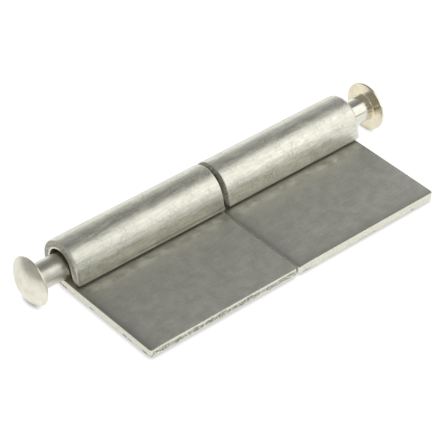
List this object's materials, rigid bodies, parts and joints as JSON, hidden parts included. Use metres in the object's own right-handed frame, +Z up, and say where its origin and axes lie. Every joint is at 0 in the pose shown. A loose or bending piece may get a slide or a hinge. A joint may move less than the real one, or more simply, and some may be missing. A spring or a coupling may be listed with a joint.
{
  "type": "lift-off hinge",
  "caption": "Weld-on lift-off hinge: flat flag leaves rolled into open knuckles on mushroom-headed pins; a leaf swings on the pivot pin and slides off along it.",
  "frame": {"origin": "The middle of the hinge's box, at the level of the lowest point of the pin heads; the leaves' undersides lie 0.65 mm above it.", "axes": "+X runs along the pin from the pivot pin's head to the stop pin's head, +Y from the leaves' front edge back to the knuckles, +Z up from the leaves' undersides to the knuckles."},
  "size_m": [0.1, 0.0352, 0.0116],
  "materials": {
    "leaf_sheet": "mill-finish stainless sheet, matt on the flats and satin on the rolled knuckles, with tumbled edges",
    "pin_steel": "bright drawn stainless steel, cold-headed"
  },
  "bodies": {
    "left_leaf": {"left_leaf": "leaf_sheet"},
    "pivot_pin": {"pivot_pin": "pin_steel"},
    "right_leaf": {"right_leaf": "leaf_sheet"},
    "stop_pin": {"stop_pin": "pin_steel"}
  },
  "joints": [
    {"name": "leaf_swing", "type": "hinge", "parent": "left_leaf", "child": "pivot_pin", "pos_m": [0, 0.0119, 0.0057], "axis": [-1, 0, 0], "continuous": true},
    {"name": "lift_off", "type": "slide", "parent": "pivot_pin", "child": "right_leaf", "axis": [1, 0, 0], "range_m": [0, 0.026]},
    {"name": "stop_pin_draw", "type": "slide", "parent": "right_leaf", "child": "stop_pin", "axis": [1, 0, 0], "range_m": [0, 0.02]}
  ]
}
